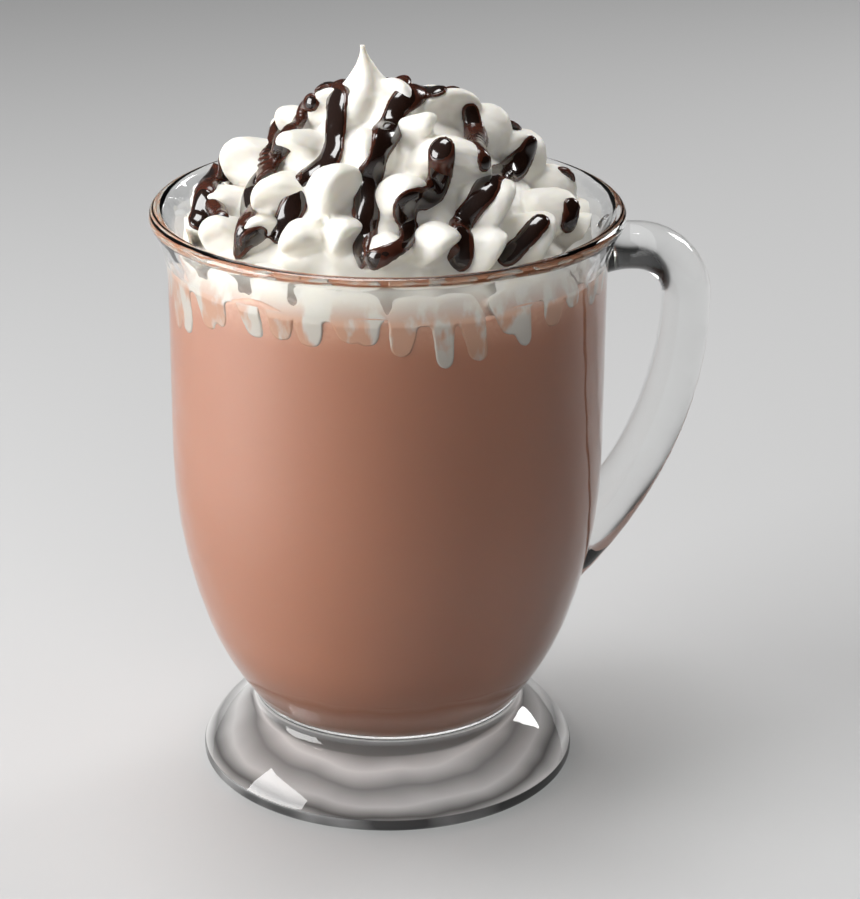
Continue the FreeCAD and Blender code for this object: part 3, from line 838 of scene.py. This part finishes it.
def make_sauce(cream, name, spill, flat):
    """Drizzled sauce: flat beads strung closely along each line and run together into one skin."""
    dice = random.Random(SAUCE_SEED)
    tree = BVHTree.FromObject(cream, bpy.context.evaluated_depsgraph_get())
    shapes = ([], [])
    for side, lines in ((1, FRONT_LINES), (-1, BACK_LINES)):
        for girth, line in lines:
            phase = dice.uniform(0, 10)
            for place, normal in drizzle(tree, line, side):
                swell = 1 + SWELL * noise.noise(place * SWELL_RATE + Vector((phase, 0, 0)))
                bead(shapes, place, normal, girth * swell + spill, flat)
    sauce = make_object(name, *shapes)
    one_skin(sauce, SAUCE_VOXEL, SAUCE_SOFTENING)
    reshape(sauce, lambda place, _: keep_inside(place, -SAUCE_GAP))
    return sauce


# ---------------------------------------------------------------- materials


def set_inputs(node, values):
    """Sets a node's inputs by name."""
    for name, value in values.items():
        node.inputs[name].default_value = value
    return node


def new_material(name, values):
    """A material, its nodes, its links, and its shader with these inputs."""
    material = bpy.data.materials.new(name)
    material.use_nodes = True
    nodes = material.node_tree.nodes
    return material, nodes, material.node_tree.links, set_inputs(nodes["Principled BSDF"], values)


def maths(nodes, links, operation, first, second, third=None):
    """The result of a sum on sockets or numbers."""
    node = nodes.new("ShaderNodeMath")
    node.operation = operation
    for socket, value in zip(node.inputs, (first, second, third)):
        if isinstance(value, (int, float)):
            socket.default_value = value
        elif value is not None:
            links.new(value, socket)
    return node.outputs[0]


def mixed_colour(nodes, links, share, first, second):
    """A colour that goes from the first to the second as share goes from 0 to 1."""
    node = nodes.new("ShaderNodeMix")
    node.data_type = "RGBA"
    links.new(share, node.inputs["Factor"])
    for name, value in (("A", first), ("B", second)):
        if isinstance(value, tuple):
            node.inputs[name].default_value = value
        else:
            links.new(value, node.inputs[name])
    return node.outputs["Result"]


def mixed_shader(nodes, links, share, first, second):
    """A shader that goes from the first to the second as share goes from 0 to 1."""
    node = nodes.new("ShaderNodeMixShader")
    for socket, value in zip(node.inputs, (share, first, second)):
        links.new(value, socket)
    return node.outputs[0]


def new_grain(nodes, links, scale, detail, stretch=None):
    """A noise in the object's own space, stretched if asked."""
    place = nodes.new("ShaderNodeTexCoord").outputs["Object"]
    if stretch:
        stretched = set_inputs(nodes.new("ShaderNodeMapping"), {"Scale": stretch})
        links.new(place, stretched.inputs["Vector"])
        place = stretched.outputs[0]
    grain = set_inputs(nodes.new("ShaderNodeTexNoise"), {"Scale": scale, "Detail": detail})
    links.new(place, grain.inputs["Vector"])
    return grain.outputs["Fac"]


def add_bump(nodes, links, scale, detail, strength, distance):
    """Small relief from a noise. Gives the noise."""
    grain = new_grain(nodes, links, scale, detail)
    bump = set_inputs(nodes.new("ShaderNodeBump"), {"Strength": strength, "Distance": distance})
    links.new(grain, bump.inputs["Height"])
    links.new(bump.outputs["Normal"], nodes["Principled BSDF"].inputs["Normal"])
    return grain


def ramp(nodes, links, value, low, high, at_low=0.0, at_high=1.0):
    """A value mapped from one range to another, and held at its ends."""
    spans = {"From Min": low, "From Max": high, "To Min": at_low, "To Max": at_high}
    node = set_inputs(nodes.new("ShaderNodeMapRange"), spans)
    links.new(value, node.inputs["Value"])
    return node.outputs[0]


def height_share(nodes, links, low, high):
    """A value that goes from 0 at one height to 1 at another."""
    parts = nodes.new("ShaderNodeSeparateXYZ")
    links.new(nodes.new("ShaderNodeTexCoord").outputs["Object"], parts.inputs[0])
    return ramp(nodes, links, parts.outputs["Z"], low * MM, high * MM)


# Painted highlight and shade rings on the foot's opaque grey underside, standing in for the foot's
# reflections, as (share of the foot's radius, grey)
PAINTED_RING_GREYS = [
    (0.0, 0.15),
    (0.40, 0.22),
    (0.52, 0.85),
    (0.62, 0.30),
    (0.74, 0.72),
    (0.84, 0.14),
    (0.92, 0.70),
    (1.0, 0.06),
]
RING_WAVES, RING_WAVER = 45, 0.16
# The underside turns from the painted grey to clear between these heights
PAINTED_UNDERSIDE_HIGH, PAINTED_UNDERSIDE_LOW = 2.75, 2.55


def painted_highlight_rings(nodes, links):
    """Painted highlight and shade rings about the axis: soft grey, a little uneven."""
    flat = nodes.new("ShaderNodeVectorMath")
    flat.operation = "MULTIPLY"
    flat.inputs[1].default_value = (1 / (FOOT_RADIUS * MM), 1 / (FOOT_RADIUS * MM), 0)
    reach = nodes.new("ShaderNodeVectorMath")
    reach.operation = "LENGTH"
    links.new(nodes.new("ShaderNodeTexCoord").outputs["Object"], flat.inputs[0])
    links.new(flat.outputs[0], reach.inputs[0])
    grain = new_grain(nodes, links, RING_WAVES, 2.0)
    uneven = maths(nodes, links, "MULTIPLY_ADD", grain, RING_WAVER, reach.outputs["Value"])
    painted_rings = nodes.new("ShaderNodeValToRGB")
    steps = painted_rings.color_ramp.elements
    for at, _ in PAINTED_RING_GREYS[1:-1]:
        steps.new(at)
    for step, (at, grey) in zip(steps, PAINTED_RING_GREYS):
        step.position = at
        step.color = (grey, grey, grey, 1)
    links.new(maths(nodes, links, "SUBTRACT", uneven, RING_WAVER / 2), painted_rings.inputs[0])
    return painted_rings.outputs["Color"]


def glass_material():
    """Clear glass. The underside of the foot is an opaque grey with painted highlight and shade rings, so the
    foot looks silvery from above.
    """
    clear = {"Base Color": (0.93, 0.935, 0.93, 1), "Roughness": 0.0, "IOR": 1.5, "Transmission Weight": 1.0}
    material, nodes, links, shader = new_material("clear_glass", clear)
    add_bump(nodes, links, 70, 1.5, 0.4, 0.001)
    # Painted light: an opaque grey underside whose rings are painted highlights and painted shade bands
    painted_underside = set_inputs(nodes.new("ShaderNodeBsdfPrincipled"), {"Metallic": 0.3, "Roughness": 0.35})
    links.new(painted_highlight_rings(nodes, links), painted_underside.inputs["Base Color"])
    share = height_share(nodes, links, PAINTED_UNDERSIDE_HIGH, PAINTED_UNDERSIDE_LOW)
    under = mixed_shader(nodes, links, share, shader.outputs[0], painted_underside.outputs[0])
    shadow = set_inputs(nodes.new("ShaderNodeBsdfTransparent"), {"Color": (0.93, 0.94, 0.935, 1)})
    rays = nodes.new("ShaderNodeLightPath")
    whole = mixed_shader(nodes, links, rays.outputs["Is Shadow Ray"], under, shadow.outputs[0])
    links.new(whole, nodes["Material Output"].inputs["Surface"])
    return material


def drink_material():
    """Milky chocolate with a soft sheen, paler and frothy behind the cream's fringe."""
    values = {
        "Roughness": 0.5,
        "Specular IOR Level": 0.2,
        "Coat Weight": 0.9,
        "Coat Roughness": 0.6,
        "Coat IOR": 1.9,
        "Subsurface Weight": 0.25,
        "Subsurface Radius": (1.0, 0.5, 0.3),
        "Subsurface Scale": 0.004,
    }
    material, nodes, links, shader = new_material("milky_chocolate", values)
    grain = add_bump(nodes, links, 900, 2.0, 0.05, 0.0002)
    share = height_share(nodes, links, FRINGE_LOW - 4, FRINGE_HIGH)
    froth = maths(nodes, links, "MULTIPLY", share, grain)
    colour = mixed_colour(nodes, links, froth, (0.285, 0.090, 0.028, 1), (0.55, 0.33, 0.22, 1))
    links.new(colour, shader.inputs["Base Color"])
    return material


# Above the drink's level: where the painted shade on the cream fades out to white, where its froth ends, and
# which noise gives a speck
PAINTED_SHADE_LOW, PAINTED_SHADE_HIGH = 8, 18
FROTH_HIGH, FROTH_LOW = 13, 7
SPECK_LOW, SPECK_HIGH = 0.44, 0.56


def cream_material():
    """Warm white cream. Low against the glass it is painted greyer as shade, with brown froth of the drink in
    it.
    """
    values = {
        "Roughness": 0.42,
        "Specular IOR Level": 0.35,
        "Subsurface Weight": 0.35,
        "Subsurface Radius": (1.0, 0.8, 0.5),
        "Subsurface Scale": 0.002,
    }
    material, nodes, links, shader = new_material("whipped_cream", values)
    add_bump(nodes, links, 700, 3.0, 0.06, 0.0002)
    # Painted shade: the cream is darkened to grey low down against the glass
    share = height_share(nodes, links, LEVEL + PAINTED_SHADE_LOW, LEVEL + PAINTED_SHADE_HIGH)
    cream = mixed_colour(nodes, links, share, (0.37, 0.35, 0.315, 1), (0.88, 0.85, 0.78, 1))
    grain = new_grain(nodes, links, 260, 5.0, stretch=(1, 1, 0.45))
    specks = ramp(nodes, links, grain, SPECK_LOW, SPECK_HIGH)
    low = height_share(nodes, links, LEVEL + FROTH_HIGH, LEVEL + FROTH_LOW)
    amount = maths(nodes, links, "MULTIPLY", specks, low)
    colour = mixed_colour(nodes, links, amount, cream, (0.36, 0.20, 0.13, 1))
    links.new(colour, shader.inputs["Base Color"])
    return material


def sauce_material():
    """Near-black glossy chocolate sauce."""
    values = {
        "Base Color": (0.014, 0.006, 0.004, 1),
        "Roughness": 0.12,
        "Specular IOR Level": 0.6,
        "Coat Weight": 0.5,
        "Coat Roughness": 0.04,
    }
    material, nodes, links, _ = new_material("chocolate_sauce", values)
    add_bump(nodes, links, 120, 1.0, 0.05, 0.0004)
    return material


def film_material():
    """The same sauce where it is thin, at its edges: browner."""
    values = {
        "Base Color": (0.055, 0.016, 0.009, 1),
        "Roughness": 0.2,
        "Subsurface Weight": 0.3,
        "Subsurface Radius": (1.0, 0.3, 0.15),
        "Subsurface Scale": 0.001,
    }
    return new_material("sauce_film", values)[0]


def floor_material():
    """The pale floor of the stage."""
    return new_material("pale_floor", {"Base Color": (0.56, 0.56, 0.56, 1), "Roughness": 0.7})[0]


def dress(thing, material, node):
    """Gives a piece its material, hangs it on the body, and hides the frame's part that it replaces, if any.
    """
    thing.data.materials.clear()
    thing.data.materials.append(material)
    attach(thing, BODY)
    if node:
        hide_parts(node)


# ---------------------------------------------------------------- camera, light and floor


CAMERA_PLACE = (0.0, -0.5566, 0.2960)
CAMERA_PITCH = math.radians(22.23)
CAMERA_LENS = 115.7
CAMERA_SHIFT = 0.0472
SENSOR_WIDTH = 36
FLOOR_REACH = 9000
FLOOR_DROP = 0.0002
# The light of the room: strong on the left, weak on the right, and stronger overhead than level
ROOM_LEFT, ROOM_RIGHT = 2.6, 0.16
ROOM_RIGHT_START = 0.35
ROOM_LEVEL, ROOM_OVERHEAD = 0.75, 1.1


def add_camera():
    """The photo's camera."""
    data = bpy.data.cameras.new("camera")
    data.sensor_width = SENSOR_WIDTH
    data.lens = CAMERA_LENS
    data.shift_x = CAMERA_SHIFT
    camera = bpy.data.objects.new("camera", data)
    camera.location = CAMERA_PLACE
    camera.rotation_euler = (math.pi / 2 - CAMERA_PITCH, 0, 0)
    bpy.context.scene.collection.objects.link(camera)
    bpy.context.scene.camera = camera


def add_light(name, place, width, height, watts, target, mirrored=True):
    """A flat lamp that faces its target. It isn't seen itself, and lights without a reflection if asked."""
    data = bpy.data.lights.new(name, "AREA")
    data.shape = "RECTANGLE"
    data.size, data.size_y = width, height
    data.energy = watts
    light = bpy.data.objects.new(name, data)
    light.location = place
    light.rotation_euler = (Vector(target) - Vector(place)).to_track_quat("-Z", "Y").to_euler()
    light.visible_camera = False
    light.visible_glossy = mirrored
    bpy.context.scene.collection.objects.link(light)


def add_world():
    """A room lit softly by a wide window on the left, dim on the right."""
    world = bpy.data.worlds.new("soft_room")
    bpy.context.scene.world = world
    world.use_nodes = True
    nodes, links = world.node_tree.nodes, world.node_tree.links
    parts = nodes.new("ShaderNodeSeparateXYZ")
    links.new(nodes.new("ShaderNodeTexCoord").outputs["Generated"], parts.inputs[0])
    across = ramp(nodes, links, parts.outputs["X"], -1.0, ROOM_RIGHT_START, ROOM_LEFT, ROOM_RIGHT)
    rise = ramp(nodes, links, parts.outputs["Z"], 0.0, 1.0, ROOM_LEVEL, ROOM_OVERHEAD)
    links.new(maths(nodes, links, "MULTIPLY", across, rise), nodes["Background"].inputs["Strength"])


def add_floor():
    """A floor so wide that its edge isn't seen."""
    corners = [(x * FLOOR_REACH, y * FLOOR_REACH, 0) for x, y in ((-1, -1), (1, -1), (1, 1), (-1, 1))]
    floor = make_object("floor", corners, [(0, 1, 2, 3)])
    floor.location.z = -FLOOR_DROP
    floor.data.materials.append(floor_material())


def set_up_stage():
    """Camera, light, floor, and how the render treats them."""
    add_camera()
    add_world()
    add_light("key", (-0.74, -0.22, 0.30), 0.5, 0.5, 8.0, (0, 0, 0.09))
    add_light("fill", (0.25, -1.30, 0.75), 0.8, 0.6, 4.0, (0, 0, 0.07), mirrored=False)
    add_light("top", (-0.12, 0.12, 0.85), 0.45, 0.35, 5.0, (0, 0, 0.13))
    add_light("back_right", (0.55, 0.60, 0.42), 0.18, 0.30, 2.0, (0, 0, 0.06))
    add_floor()
    scene = bpy.context.scene
    scene.view_settings.view_transform = "Standard"
    scene.cycles.use_denoising = True
    scene.cycles.max_bounces = 16
    scene.cycles.transmission_bounces = 14


# ---------------------------------------------------------------- the whole


set_up_stage()
dress(make_glass(), glass_material(), "mug")
dress(make_drink(), drink_material(), "drink")
cream = make_cream()
dress(cream, cream_material(), "cream")
dress(make_sauce(cream, "sauce_film", spill=0.3, flat=0.26), film_material(), None)
dress(make_sauce(cream, "chocolate_sauce", spill=0.0, flat=0.42), sauce_material(), None)
